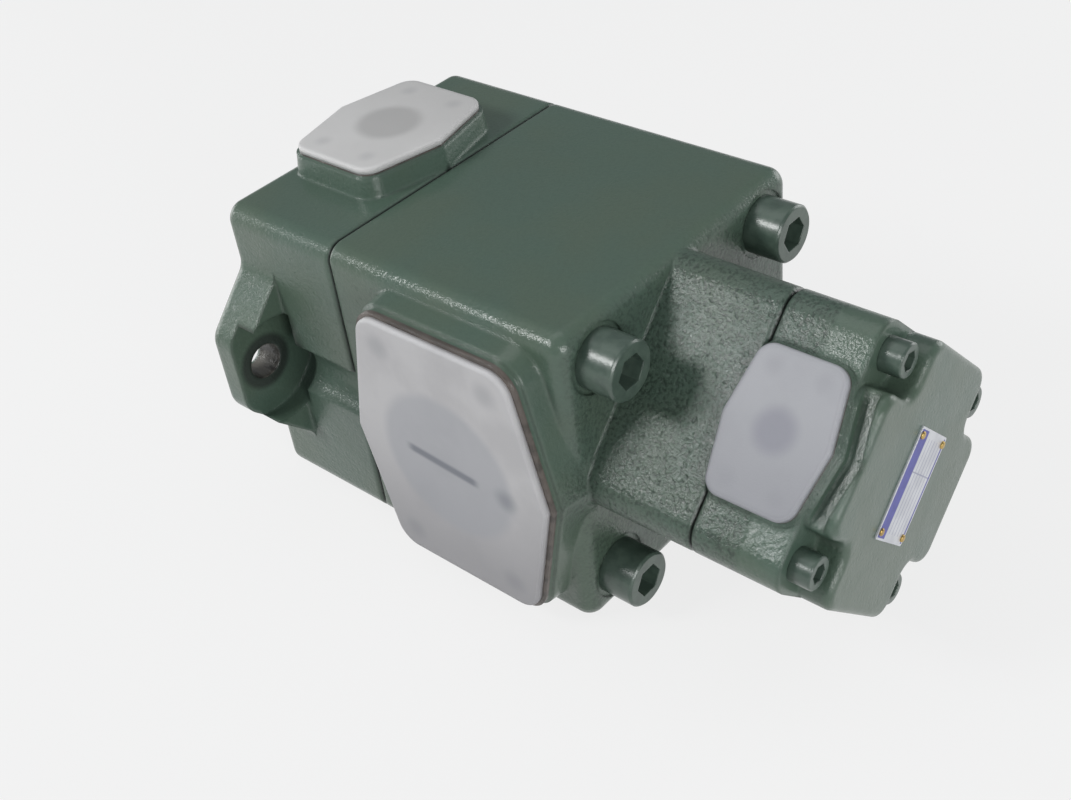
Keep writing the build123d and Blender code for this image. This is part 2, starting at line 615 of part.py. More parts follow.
suction_port_cover = port_cover(
    SUCTION_PLANE, SUCTION_FACE, SUCTION_HALF_LENGTH, SUCTION_MID_HALF, SUCTION_END_HALF,
    SUCTION_CORNER, SUCTION_PORT_RADIUS
)
finish(suction_port_cover, "suction_port_cover")
large_discharge_cover = port_cover(
    DISCHARGE_PLANE, DISCHARGE_FACE, DISCHARGE_HALF_LENGTH, DISCHARGE_MID_HALF, DISCHARGE_END_HALF,
    DISCHARGE_CORNER, DISCHARGE_PORT_RADIUS
)
finish(large_discharge_cover, "large_discharge_cover")
small_discharge_cover = port_cover(
    SMALL_PORT_PLANE, SMALL_PORT_FACE, SMALL_PAD_HALF_LENGTH, SMALL_PAD_MID_HALF, SMALL_PAD_END_HALF,
    SMALL_PAD_CORNER, SMALL_PORT_RADIUS
)
finish(small_discharge_cover, "small_discharge_cover")

# ================================================================== nameplate and rivets
with BuildPart() as nameplate:
    with BuildSketch(tilted(END_X)):
        RectangleRounded(PLATE_T, PLATE_N, RIVET_RADIUS)
        with GridLocations(RIVET_T, RIVET_N, 2, 2):
            Circle(RIVET_RADIUS + SEAT_FIT, mode=Mode.SUBTRACT)
    extrude(amount=PLATE_THICKNESS)
finish(nameplate, "nameplate")

with BuildPart() as nameplate_rivets:
    with BuildSketch(tilted(END_X - RIVET_LENGTH)):
        with GridLocations(RIVET_T, RIVET_N, 2, 2):
            Circle(RIVET_RADIUS)
    extrude(amount=RIVET_LENGTH + PLATE_THICKNESS)
    with BuildSketch(tilted(END_X + PLATE_THICKNESS)):
        with GridLocations(RIVET_T, RIVET_N, 2, 2):
            Circle(RIVET_HEAD)
    extrude(amount=RIVET_RADIUS)
    fillet(nameplate_rivets.faces().group_by(Axis.X)[-1].edges(), RIVET_RADIUS * 0.7)
finish(nameplate_rivets, "nameplate_rivets")


# ================================================================== bearing, seal and retaining rings
def race_profile(outer, inner):
    """Half section of a bearing ring, with the ball track cut into it."""
    with BuildSketch(Plane.XY) as section:
        with Locations(((BEARING_START + BEARING_END) / 2, (outer + inner) / 2)):
            RectangleRounded(BEARING_WIDTH, outer - inner, SHAFT_CHAMFER / 2)
        with Locations(((BEARING_START + BEARING_END) / 2, BALL_PITCH)):
            Circle(BALL_RADIUS + BALL_FIT, mode=Mode.SUBTRACT)
    return section.sketch


with BuildPart() as bearing_outer_ring:
    revolve(race_profile(BEARING_RADIUS, RACE_OUTER), axis=Axis.X)
finish(bearing_outer_ring, "bearing_outer_ring")

with BuildPart() as bearing_inner_ring:
    revolve(race_profile(RACE_INNER, SEAT_RADIUS), axis=Axis.X)
finish(bearing_inner_ring, "bearing_inner_ring")

BEARING_MIDDLE = across((BEARING_START + BEARING_END) / 2)
with BuildPart() as bearing_cage:
    with BuildSketch(BEARING_MIDDLE):
        Circle(BALL_PITCH + CAGE_THICKNESS / 2)
        Circle(BALL_PITCH - CAGE_THICKNESS / 2, mode=Mode.SUBTRACT)
    extrude(amount=CAGE_WIDTH / 2, both=True)
    with Locations(BEARING_MIDDLE):
        with PolarLocations(BALL_PITCH, BALL_COUNT):
            Cylinder(BALL_RADIUS + BALL_FIT, 2 * CAGE_THICKNESS, rotation=(0, 90, 0), mode=Mode.SUBTRACT)
finish(bearing_cage, "bearing_cage")

with BuildPart() as bearing_balls:
    with Locations(BEARING_MIDDLE):
        with PolarLocations(BALL_PITCH, BALL_COUNT):
            Sphere(BALL_RADIUS)
finish(bearing_balls, "bearing_balls")


def snap_ring(start, thickness, outer, inner, lug_radius, lug_pitch):
    """Open retaining ring with a lug and a plier hole at each end of its gap."""
    with BuildPart() as ring:
        with BuildSketch(across(start)):
            Circle(outer)
            with PolarLocations(lug_pitch, 2, -RING_GAP_ANGLE, 2 * RING_GAP_ANGLE, endpoint=True):
                Circle(lug_radius)
            Circle(inner, mode=Mode.SUBTRACT)
            with PolarLocations(lug_pitch, 2, -RING_GAP_ANGLE, 2 * RING_GAP_ANGLE, endpoint=True):
                Circle(lug_radius)
                Circle(lug_radius / 2.5, mode=Mode.SUBTRACT)
            with BuildLine():
                Polyline(
                    (0, 0),
                    (2 * outer, 2 * outer * math.tan(math.radians(RING_GAP_ANGLE / 2))),
                    (2 * outer, -2 * outer * math.tan(math.radians(RING_GAP_ANGLE / 2))),
                    close=True,
                )
            make_face(mode=Mode.SUBTRACT)
        extrude(amount=thickness)
    return ring


bearing_retaining_ring = snap_ring(
    BEARING_START - RING_THICKNESS, RING_THICKNESS, BEARING_RADIUS + RING_GROOVE - SEAT_FIT,
    BEARING_RADIUS - 2 * RING_GROOVE, RING_THICKNESS, BEARING_RADIUS - 2 * RING_GROOVE
)
finish(bearing_retaining_ring, "bearing_retaining_ring")
shaft_retaining_ring = snap_ring(
    BEARING_START - SHAFT_RING_THICKNESS, SHAFT_RING_THICKNESS, SEAT_RADIUS + 2 * SHAFT_RING_GROOVE,
    SEAT_RADIUS - SHAFT_RING_GROOVE + SEAT_FIT, SHAFT_RING_THICKNESS, SEAT_RADIUS + 2 * SHAFT_RING_GROOVE
)
finish(shaft_retaining_ring, "shaft_retaining_ring")

with BuildPart() as shaft_seal:
    # steel case with a lip that bends back along the shaft
    with BuildSketch(Plane.XY):
        with BuildLine():
            Polyline(
                (SEAL_START, SEAL_RADIUS),
                (SEAL_END, SEAL_RADIUS),
                (SEAL_END, SEAL_RADIUS - SEAL_WALL),
                (SEAL_START + SEAL_WALL, SEAL_RADIUS - SEAL_WALL),
                (SEAL_START + SEAL_WALL, SEAT_RADIUS + 3 * SEAL_WALL),
                (SEAL_END - SEAL_WALL, SEAT_RADIUS + 1.5 * SEAL_WALL),
                (SEAL_END - SEAL_WALL, SEAT_RADIUS + RUNNING_FIT),
                (SEAL_END - 2 * SEAL_WALL, SEAT_RADIUS + RUNNING_FIT),
                (SEAL_START, SEAT_RADIUS + SEAL_WALL),
                close=True,
            )
        make_face()
    revolve(axis=Axis.X)
finish(shaft_seal, "shaft_seal")


# ================================================================== seam and plate seals
def ring_seal(x, pitch, section):
    """Seal ring of round section lying in its groove."""
    with BuildPart() as seal:
        with BuildSketch(Plane.XY):
            with Locations((x, pitch)):
                Circle(section - SEAT_FIT)
        revolve(axis=Axis.X)
    return seal


finish(ring_seal(SEAM_FRONT + ORING_RADIUS, FRONT_ORING, ORING_RADIUS), "front_seam_seal")
finish(ring_seal(SEAM_REAR - ORING_RADIUS, REAR_ORING, ORING_RADIUS), "rear_seam_seal")
finish(ring_seal(SEAM_FRONT - LARGE_PLATE + ORING_RADIUS, PLATE_ORING, ORING_RADIUS), "large_plate_seal")
small_plate_seal = ring_seal(SEAM_REAR + SMALL_RECESS / 2, SMALL_OUTER - PLATE_SEAL_RADIUS, PLATE_SEAL_RADIUS)
finish(small_plate_seal, "small_plate_seal")


# ================================================================== vane cartridges
def spline_outline(x, radius, grow=0.0):
    """Straight-sided spline profile of the shaft, or of a rotor's bore when grown."""
    with BuildSketch(across(x)) as outline:
        Circle(radius - SPLINE_DEPTH + grow)
        with PolarLocations(radius - SPLINE_DEPTH, SPLINE_TEETH):
            Rectangle(
                2 * (SPLINE_DEPTH + grow),
                math.pi * radius / SPLINE_TEETH * SPLINE_LAND + 2 * grow,
            )
    return outline.sketch


def cam_ramp(minor, major, turn, sense):
    """Points of a cam ramp between two dwells, where the radius grows as a half cosine of the angle."""
    points = []
    for step in range(RAMP_STEPS + 1):
        share = step / RAMP_STEPS
        angle = turn + sense * (DWELL_HALF_ANGLE + (90 - 2 * DWELL_HALF_ANGLE) * share)
        radius = minor + (major - minor) * (1 - math.cos(math.pi * share)) / 2
        points.append(Vector(radius, 0).rotate(Axis.Z, angle))
    return points


def cam_outline(x, minor, major):
    """Two-lobed cam track: dwells on the minor and major radii, joined by smooth ramps."""
    with BuildSketch(across(x)) as outline:
        with BuildLine():
            for turn in (0, 180):
                CenterArc((0, 0), minor, turn - DWELL_HALF_ANGLE, 2 * DWELL_HALF_ANGLE)
                CenterArc((0, 0), major, turn + 90 - DWELL_HALF_ANGLE, 2 * DWELL_HALF_ANGLE)
                for sense in (-1, 1):
                    points = cam_ramp(minor, major, turn, sense)
                    ends = [points[0].rotate(Axis.Z, 90) * sense, points[-1].rotate(Axis.Z, 90) * sense]
                    Spline(*points, tangents=ends)
        make_face()
    return outline.sketch


def cam_ring(start, width, outer, minor, major, bolt_radius, pin_radius):
    """Cam ring with inlet notches in both faces, two bolt holes and two dowel holes."""
    wall = (outer + minor) / 2
    with BuildPart() as ring:
        with BuildSketch(across(start)):
            Circle(outer)
            with PolarLocations(wall, 2):
                Circle(bolt_radius + THREAD_FIT, mode=Mode.SUBTRACT)
            with PolarLocations((outer + major) / 2, 2, 90):
                Circle(pin_radius + SEAT_FIT, mode=Mode.SUBTRACT)
        extrude(amount=width)
        extrude(cam_outline(start, minor, major), amount=width, mode=Mode.SUBTRACT)
        for face in (start, start + width - NOTCH_DEPTH):
            with BuildSketch(across(face)):
                with PolarLocations(outer, 2, SUCTION_ANGLE):
                    Rectangle(2 * (outer - minor) + NOTCH_DEPTH, NOTCH_WIDTH * minor)
            extrude(amount=NOTCH_DEPTH, mode=Mode.SUBTRACT)
    return ring


def port_plate(start, width, outer, shaft_hole, minor, major, undervane, bolt_radius, pin_radius, inward):
    """Side plate with two discharge kidneys and an undervane groove on the face that meets the cam ring."""
    face = start + width if inward > 0 else start
    with BuildPart() as plate:
        with BuildSketch(across(start)):
            Circle(outer)
            Circle(shaft_hole, mode=Mode.SUBTRACT)
            for turn in (DISCHARGE_ANGLE, DISCHARGE_ANGLE + 180):
                start = turn - KIDNEY_SPAN / 2
                track = CenterArc((0, 0), (minor + major) / 2, start, KIDNEY_SPAN, mode=Mode.PRIVATE)
                SlotArc(track, major - minor, mode=Mode.SUBTRACT)
            with PolarLocations((outer + minor) / 2, 2):
                Circle(bolt_radius + THREAD_FIT, mode=Mode.SUBTRACT)
        extrude(amount=width)
        with BuildSketch(across(face)):
            Circle(undervane + GROOVE_HALF)
            Circle(undervane - GROOVE_HALF, mode=Mode.SUBTRACT)
        extrude(amount=-inward * GROOVE_HALF, mode=Mode.SUBTRACT)
        with BuildSketch(across(face)):
            with PolarLocations((outer + major) / 2, 2, 90):
                Circle(pin_radius + SEAT_FIT)
        extrude(amount=-inward * (PIN_GRIP + SEAT_FIT), mode=Mode.SUBTRACT)
    return plate


def counterbores(plate_end, outer, minor, bolt_radius):
    """Sinks the heads of the two cartridge bolts into the plate being made."""
    with BuildSketch(across(plate_end)) as seats:
        with PolarLocations((outer + minor) / 2, 2):
            Circle(1.5 * bolt_radius + SCREW_CLEARANCE)
    extrude(seats.sketch, amount=-HEAD_SINK * bolt_radius, mode=Mode.SUBTRACT)


def cartridge_bolts(front, rear, outer, minor, bolt_radius):
    """Two socket screws that hold a cartridge together, heads sunk in its rear plate."""
    seat = rear - HEAD_SINK * bolt_radius
    with BuildPart() as bolts:
        with BuildSketch(across(seat)):
            with PolarLocations((outer + minor) / 2, 2):
                Circle(1.5 * bolt_radius)
        extrude(amount=2 * bolt_radius)
        with BuildSketch(across(seat + 2 * bolt_radius)):
            with PolarLocations((outer + minor) / 2, 2):
                RegularPolygon(SOCKET_RATIO * bolt_radius, 6)
        extrude(amount=-bolt_radius, mode=Mode.SUBTRACT)
        with BuildSketch(across(seat)):
            with PolarLocations((outer + minor) / 2, 2):
                Circle(bolt_radius)
        extrude(amount=front - seat)
    return bolts


def dowels(cam_start, cam_end, outer, major, pin_radius):
    """Two dowels that keep the plates in line with the cam ring."""
    with BuildPart() as pins:
        with BuildSketch(across(cam_start - PIN_GRIP)):
            with PolarLocations((outer + major) / 2, 2, 90):
                Circle(pin_radius)
        extrude(amount=cam_end - cam_start + 2 * PIN_GRIP)
    return pins


def rotor(start, width, radius, count, thickness, height, undervane, spline_radius):
    """Slotted rotor: one slot for each vane with a round oil hole at its root, and a splined bore."""
    root = radius - height - undervane
    with BuildPart() as wheel:
        with BuildSketch(across(start)):
            Circle(radius)
            with PolarLocations(root, count, 180 / count):
                Circle(undervane, mode=Mode.SUBTRACT)
            with PolarLocations(radius, count, 180 / count):
                Rectangle(2 * (radius - root), thickness + 2 * VANE_FIT, mode=Mode.SUBTRACT)
        extrude(amount=width)
        extrude(spline_outline(start, spline_radius, SPLINE_FIT), amount=width, mode=Mode.SUBTRACT)
    return wheel


def vane(start, width, radius, angle, thickness, height):
    """Blade with a rounded tip, drawn in until its tip is flush with the rotor."""
    with BuildPart() as blade:
        with BuildSketch(across(start)) as section:
            with PolarLocations(radius - height / 2, 1, angle):
                Rectangle(height, thickness)
            tips = section.vertices().sort_by(lambda v: math.hypot(v.X, v.Y))[-2:]
            fillet(tips, thickness * VANE_TIP)
        extrude(amount=width)
    return blade


LARGE_UNDERVANE_PITCH = LARGE_ROTOR - LARGE_VANE_HEIGHT - LARGE_UNDERVANE
large_cam_ring = cam_ring(
    SEAM_FRONT, LARGE_CAM_WIDTH, LARGE_OUTER, LARGE_MINOR, LARGE_MAJOR, LARGE_BOLT_RADIUS, LARGE_PIN_RADIUS
)
finish(large_cam_ring, "large_cam_ring")

large_front_side_plate = port_plate(
    SEAM_FRONT - LARGE_PLATE, LARGE_PLATE, LARGE_OUTER, MAIN_RADIUS + SHAFT_CLEARANCE, LARGE_MINOR,
    LARGE_MAJOR, LARGE_UNDERVANE_PITCH, LARGE_BOLT_RADIUS, LARGE_PIN_RADIUS, 1
)
with large_front_side_plate:
    ring_cut(SEAM_FRONT - LARGE_PLATE, SEAM_FRONT - LARGE_PLATE + 2 * ORING_RADIUS,
             PLATE_ORING + ORING_RADIUS, PLATE_ORING - ORING_RADIUS)
finish(large_front_side_plate, "large_front_side_plate")

BUSH_RADIUS = MIDDLE_RADIUS + RUNNING_FIT + BUSH_WALL
large_rear_side_plate = port_plate(
    LARGE_CAM_END, LARGE_PLATE, LARGE_OUTER, BUSH_RADIUS + SEAT_FIT, LARGE_MINOR, LARGE_MAJOR,
    LARGE_UNDERVANE_PITCH, LARGE_BOLT_RADIUS, LARGE_PIN_RADIUS, -1
)
with large_rear_side_plate:
    counterbores(LARGE_REAR_END, LARGE_OUTER, LARGE_MINOR, LARGE_BOLT_RADIUS)
finish(large_rear_side_plate, "large_rear_side_plate")

large_cartridge_bolts = cartridge_bolts(
    SEAM_FRONT - LARGE_PLATE + 2 * ORING_RADIUS, LARGE_REAR_END, LARGE_OUTER, LARGE_MINOR, LARGE_BOLT_RADIUS
)
finish(large_cartridge_bolts, "large_cartridge_bolts")
finish(dowels(SEAM_FRONT, LARGE_CAM_END, LARGE_OUTER, LARGE_MAJOR, LARGE_PIN_RADIUS), "large_dowels")
large_rotor = rotor(
    SEAM_FRONT + VANE_FIT, LARGE_CAM_WIDTH - 2 * VANE_FIT, LARGE_ROTOR, LARGE_VANES, LARGE_VANE_THICKNESS,
    LARGE_VANE_HEIGHT, LARGE_UNDERVANE, LARGE_SPLINE_RADIUS
)
finish(large_rotor, "large_rotor")
for index in range(LARGE_VANES):
    blade = vane(
        SEAM_FRONT + VANE_FIT, LARGE_CAM_WIDTH - 2 * VANE_FIT, LARGE_ROTOR, (index + 0.5) * 360 / LARGE_VANES,
        LARGE_VANE_THICKNESS, LARGE_VANE_HEIGHT
    )
    finish(blade, f"large_vane_{index + 1}")

SMALL_UNDERVANE_PITCH = SMALL_ROTOR - SMALL_VANE_HEIGHT - SMALL_UNDERVANE
small_cam_ring = cam_ring(
    SMALL_CAM_START, SMALL_CAM_WIDTH, SMALL_OUTER, SMALL_MINOR, SMALL_MAJOR, SMALL_BOLT_RADIUS,
    SMALL_PIN_RADIUS
)
finish(small_cam_ring, "small_cam_ring")

small_front_side_plate = port_plate(
    SMALL_FRONT_START, SMALL_FRONT_PLATE, SMALL_OUTER, WAIST_RADIUS + SHAFT_CLEARANCE, SMALL_MINOR,
    SMALL_MAJOR, SMALL_UNDERVANE_PITCH, SMALL_BOLT_RADIUS, SMALL_PIN_RADIUS, 1
)
finish(small_front_side_plate, "small_front_side_plate")

small_rear_side_plate = port_plate(
    SMALL_REAR_START, SMALL_REAR_PLATE, SMALL_OUTER, END_RADIUS + SHAFT_CLEARANCE, SMALL_MINOR,
    SMALL_MAJOR, SMALL_UNDERVANE_PITCH, SMALL_BOLT_RADIUS, SMALL_PIN_RADIUS, -1
)
with small_rear_side_plate:
    counterbores(SMALL_REAR_START + SMALL_REAR_PLATE, SMALL_OUTER, SMALL_MINOR, SMALL_BOLT_RADIUS)
    seal_middle = SEAM_REAR + SMALL_RECESS / 2
    ring_cut(seal_middle - PLATE_SEAL_RADIUS, seal_middle + PLATE_SEAL_RADIUS,
             SMALL_OUTER + PLATE_SEAL_RADIUS, SMALL_OUTER - 2 * PLATE_SEAL_RADIUS)
finish(small_rear_side_plate, "small_rear_side_plate")

small_cartridge_bolts = cartridge_bolts(
    SMALL_FRONT_START + ORING_RADIUS, SMALL_REAR_START + SMALL_REAR_PLATE, SMALL_OUTER, SMALL_MINOR,
    SMALL_BOLT_RADIUS
)
finish(small_cartridge_bolts, "small_cartridge_bolts")
finish(dowels(SMALL_CAM_START, SMALL_REAR_START, SMALL_OUTER, SMALL_MAJOR, SMALL_PIN_RADIUS), "small_dowels")
small_rotor = rotor(
    SMALL_CAM_START + VANE_FIT, SMALL_CAM_WIDTH - 2 * VANE_FIT, SMALL_ROTOR, SMALL_VANES,
    SMALL_VANE_THICKNESS, SMALL_VANE_HEIGHT, SMALL_UNDERVANE, SMALL_SPLINE_RADIUS
)
finish(small_rotor, "small_rotor")
for index in range(SMALL_VANES):
    blade = vane(
        SMALL_CAM_START + VANE_FIT, SMALL_CAM_WIDTH - 2 * VANE_FIT, SMALL_ROTOR,
        (index + 0.5) * 360 / SMALL_VANES, SMALL_VANE_THICKNESS, SMALL_VANE_HEIGHT
    )
    finish(blade, f"small_vane_{index + 1}")


# ================================================================== bushes
def bush(start, length, shaft_radius, wall):
    """Plain bush that carries a shaft journal."""
    with BuildPart() as sleeve:
        with BuildSketch(across(start)):
            Circle(shaft_radius + RUNNING_FIT + wall)
            Circle(shaft_radius + RUNNING_FIT, mode=Mode.SUBTRACT)
        extrude(amount=length)
    return sleeve


finish(bush(LARGE_CAM_END, LARGE_PLATE, MIDDLE_RADIUS, BUSH_WALL), "middle_bush")
finish(bush(REAR_BUSH_START, REAR_BUSH_LENGTH - SHAFT_CLEARANCE, END_RADIUS, REAR_BUSH_WALL), "rear_bush")

# ================================================================== drive shaft and key
SHAFT_START = -SHAFT_EXTENSION
SEAT_START = -PILOT_HEIGHT - SHAFT_RING_THICKNESS
MIDDLE_END = LARGE_REAR_END + COLLAR_LENGTH
SMALL_SPLINE_START = SMALL_CAM_START - SHAFT_CLEARANCE
SHAFT_END = REAR_BUSH_END - SHAFT_CHAMFER
with BuildPart() as drive_shaft:
    with BuildSketch(Plane.XY):
        with BuildLine():
            Polyline(
                (SHAFT_START, 0),
                (SHAFT_START, DRIVE_RADIUS - SHAFT_CHAMFER),
                (SHAFT_START + SHAFT_CHAMFER, DRIVE_RADIUS),
                (SEAT_START, DRIVE_RADIUS),
                (SEAT_START, SEAT_RADIUS),
                (BEARING_START - SHAFT_RING_THICKNESS - SEAT_FIT, SEAT_RADIUS),
                (BEARING_START - SHAFT_RING_THICKNESS - SEAT_FIT, SEAT_RADIUS - SHAFT_RING_GROOVE),
                (BEARING_START, SEAT_RADIUS - SHAFT_RING_GROOVE),
                (BEARING_START, SEAT_RADIUS),
                (BEARING_END, SEAT_RADIUS),
                (BEARING_END, COLLAR_RADIUS),
                (BEARING_END + COLLAR_LENGTH, COLLAR_RADIUS),
                (BEARING_END + COLLAR_LENGTH, SEAT_RADIUS),
                (SEAL_END, SEAT_RADIUS),
                (SEAL_END, MAIN_RADIUS),
                (SEAM_FRONT, MAIN_RADIUS),
                (SEAM_FRONT, LARGE_SPLINE_RADIUS - SPLINE_DEPTH),
                (LARGE_CAM_END, LARGE_SPLINE_RADIUS - SPLINE_DEPTH),
                (LARGE_CAM_END, MIDDLE_RADIUS),
                (MIDDLE_END, MIDDLE_RADIUS),
                (MIDDLE_END, WAIST_RADIUS),
                (SMALL_SPLINE_START, WAIST_RADIUS),
                (SMALL_SPLINE_START, SMALL_SPLINE_RADIUS - SPLINE_DEPTH),
                (SMALL_REAR_START, SMALL_SPLINE_RADIUS - SPLINE_DEPTH),
                (SMALL_REAR_START, END_RADIUS),
                (SHAFT_END, END_RADIUS),
                (SHAFT_END, 0),
                close=True,
            )
        make_face()
    revolve(axis=Axis.X)
    extrude(spline_outline(SEAM_FRONT, LARGE_SPLINE_RADIUS), amount=LARGE_CAM_WIDTH)
    extrude(spline_outline(SMALL_SPLINE_START, SMALL_SPLINE_RADIUS), amount=SMALL_CAM_WIDTH + SHAFT_CLEARANCE)
    with BuildSketch(Plane.XY.offset(DRIVE_RADIUS - KEY_DEPTH)):
        with Locations((SHAFT_START + KEY_END_GAP + KEY_LENGTH / 2, 0)):
            Rectangle(KEY_LENGTH + 2 * SEAT_FIT, KEY_WIDTH + 2 * SEAT_FIT)
    extrude(amount=KEY_DEPTH, mode=Mode.SUBTRACT)
finish(drive_shaft, "drive_shaft")

with BuildPart() as shaft_key:
    with BuildSketch(Plane.XY.offset(DRIVE_RADIUS - KEY_DEPTH)):
        with Locations((SHAFT_START + KEY_END_GAP + KEY_LENGTH / 2, 0)):
            Rectangle(KEY_LENGTH, KEY_WIDTH)
    extrude(amount=KEY_HEIGHT)
    chamfer(shaft_key.faces().sort_by(Axis.Z)[-1].edges(), SHAFT_CHAMFER / 3)
finish(shaft_key, "shaft_key")
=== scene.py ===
import json
import math

import bpy
from mathutils import Matrix, Vector


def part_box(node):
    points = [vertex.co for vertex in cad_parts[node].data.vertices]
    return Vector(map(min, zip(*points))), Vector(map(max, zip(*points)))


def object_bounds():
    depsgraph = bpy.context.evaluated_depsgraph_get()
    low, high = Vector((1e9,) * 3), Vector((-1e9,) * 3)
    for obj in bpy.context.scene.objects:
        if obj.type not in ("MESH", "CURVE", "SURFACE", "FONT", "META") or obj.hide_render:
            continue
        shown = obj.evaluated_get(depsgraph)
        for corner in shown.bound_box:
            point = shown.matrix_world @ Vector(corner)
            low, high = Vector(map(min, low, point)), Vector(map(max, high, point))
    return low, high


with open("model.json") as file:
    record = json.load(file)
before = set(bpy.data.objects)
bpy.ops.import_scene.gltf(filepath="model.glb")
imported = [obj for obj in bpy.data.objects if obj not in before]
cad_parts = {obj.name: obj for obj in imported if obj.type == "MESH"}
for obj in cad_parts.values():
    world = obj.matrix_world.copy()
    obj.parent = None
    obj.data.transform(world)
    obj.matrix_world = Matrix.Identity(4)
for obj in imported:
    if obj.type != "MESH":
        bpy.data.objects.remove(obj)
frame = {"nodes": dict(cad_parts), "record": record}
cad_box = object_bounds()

# Looks of the tandem vane pump: paint on rough castings, frosted transit covers, a bare nameplate,
# studio light, floor and camera. Everything is in metres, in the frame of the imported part.

nodes = frame["nodes"]
HALF_ROOT = math.sqrt(0.5)
PORT_NORMAL = (0, -HALF_ROOT, HALF_ROOT)      # out of the small discharge port
PLATE_SIDE = (0, HALF_ROOT, HALF_ROOT)        # along the nameplate
HEAD_REACH = 0.0175     # from the rim of the shoulder to the top of the large screw heads

# ------------------------------------------------------------------ places taken from the frame
def plane(normal, point):
    """Height of a point along a normal."""
    return Vector(point).dot(Vector(normal))


def middle_of(name):
    low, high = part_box(name)
    return (low + high) / 2


seam_front_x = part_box("front_body")[1].x
seam_rear_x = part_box("middle_body")[1].x
shoulder_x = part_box("large_body_screws")[1].x - HEAD_REACH
mounts = {mount["name"]: mount for mount in frame["record"]["mounts"]}


# ------------------------------------------------------------------ node graphs
class Graph:
    """Short calls for a material's node graph."""

    def __init__(self, name):
        self.material = bpy.data.materials.new(name)
        self.material.use_nodes = True
        self.tree = self.material.node_tree
        self.tree.nodes.clear()
        self.output = self.tree.nodes.new("ShaderNodeOutputMaterial")
        coords = self.tree.nodes.new("ShaderNodeTexCoord")
        self.place = coords.outputs["Object"]
        self.normal = coords.outputs["Normal"]

    def put(self, socket, value):
        if isinstance(value, bpy.types.NodeSocket):
            self.tree.links.new(value, socket)
        elif socket.type == "RGBA" and len(value) == 3:
            socket.default_value = (*value, 1.0)
        else:
            socket.default_value = value

    def node(self, kind, inputs=None, **settings):
        made = self.tree.nodes.new("ShaderNode" + kind)
        for key, value in settings.items():
            setattr(made, key, value)
        for key, value in (inputs or {}).items():
            self.put(made.inputs[key], value)
        return made

    def math(self, operation, *values, clamp=False):
        made = self.node("Math", operation=operation, use_clamp=clamp)
        for socket, value in zip(made.inputs, values):
            self.put(socket, value)
        return made.outputs[0]

    def vector(self, operation, *values):
        made = self.node("VectorMath", operation=operation)
        for socket, value in zip(made.inputs, values):
            self.put(socket, value)
        return made.outputs["Value" if operation in ("DOT_PRODUCT", "LENGTH", "DISTANCE") else "Vector"]

    def mix(self, share, first, second, blend="MIX"):
        made = self.node("Mix", data_type="RGBA", blend_type=blend)
        for socket, value in zip((made.inputs[0], made.inputs[6], made.inputs[7]), (share, first, second)):
            self.put(socket, value)
        return made.outputs[2]

    def ramp(self, value, low, high, to_low=0.0, to_high=1.0):
        """Smooth step of a value between two edges."""
        made = self.node("MapRange", {0: value, 1: low, 2: high, 3: to_low, 4: to_high},
                         interpolation_type="SMOOTHSTEP")
        return made.outputs[0]

    def noise(self, size, detail=2.0, roughness=0.5, stretch=None, place=None):
        """Noise whose blobs are about this large, in metres."""
        where = place or self.place
        if stretch:
            where = self.vector("MULTIPLY", where, stretch)
        return self.node("TexNoise", {"Vector": where, "Scale": 1 / size, "Detail": detail,
                                      "Roughness": roughness}).outputs[0]

    def facing(self, direction, low=0.6, high=0.9):
        """1 on the faces that look along a direction of the part's frame."""
        return self.ramp(self.vector("DOT_PRODUCT", self.normal, direction), low, high)

    def along(self, direction):
        return self.vector("DOT_PRODUCT", self.place, direction)

    def rounded(self, radius):
        return self.node("Bevel", {"Radius": radius}, samples=6).outputs[0]

    def bump(self, height, distance, strength=1.0, normal=None):
        inputs = {"Strength": strength, "Distance": distance, "Height": height}
        if normal is not None:
            inputs["Normal"] = normal
        return self.node("Bump", inputs).outputs[0]

    def surface(self, **inputs):
        names = {key.replace("_", " "): value for key, value in inputs.items()}
        shader = self.node("BsdfPrincipled", names)
        self.tree.links.new(shader.outputs[0], self.output.inputs["Surface"])
        return self.material


def srgb(red, green, blue):
    """Linear colour of an 8-bit display colour."""
    shares = (red / 255, green / 255, blue / 255)
    return tuple(v / 12.92 if v <= 10 / 255 else ((v + 0.055) / 1.055) ** 2.4 for v in shares)


# ------------------------------------------------------------------ materials
PAINT = srgb(76, 96, 84)
PAINT_WARM = srgb(79, 96, 82)
# painted shade in the grain's hollows and on the rough skin, and painted highlights on the grain's crests
PAINT_HOLLOW_SHADE = srgb(42, 54, 47)
PAINT_CREST_HIGHLIGHT = srgb(96, 116, 104)
BARE_IRON = srgb(98, 90, 84)
BARE_IRON_DARK = srgb(72, 66, 61)
# painted shade in the spotface recesses round the flange bolt holes
SPOTFACE_SHADE = srgb(40, 44, 42)
SEAM = srgb(18, 24, 21)
HOLE_WALL = srgb(96, 94, 88)
HOLE_WALL_DARK = srgb(46, 45, 42)
HOLE_SHADOW = srgb(124, 126, 132)
RIB_SHADOW = srgb(108, 112, 121)
# painted highlight along the covers' rounded rims
COVER_RIM_HIGHLIGHT = srgb(214, 214, 216)
PLATE_METAL = srgb(216, 218, 223)
PLATE_METAL_DARK = srgb(202, 204, 210)
PLATE_RULE = srgb(96, 98, 146)
PLATE_INK = srgb(56, 58, 148)
PLATE_INK_PALE = srgb(66, 68, 160)
SKIN_EDGE = 0.003           # how softly the rough skin starts
LAND_SOFT = 0.0002          # and the bare land
THIN_LAND = 0.0008          # bare land shown under the two discharge covers
SUCTION_LAND = 0.002        # and under the suction cover
REAR_SKIN = 0.022           # how far the rough skin reaches into the rear body
SPOTFACE_RADIUS = 0.0145
SPOTFACE_SOFT = 0.002
SCALLOP_GAP = 0.036         # from the scallop's floor to the front seam
SHADOW_SOFT = 0.0035        # soft edge of a shadow in a cover
RIB_SOFT = 0.006
RIB_LEAN = 0.08             # how far the rib is turned, as a slope


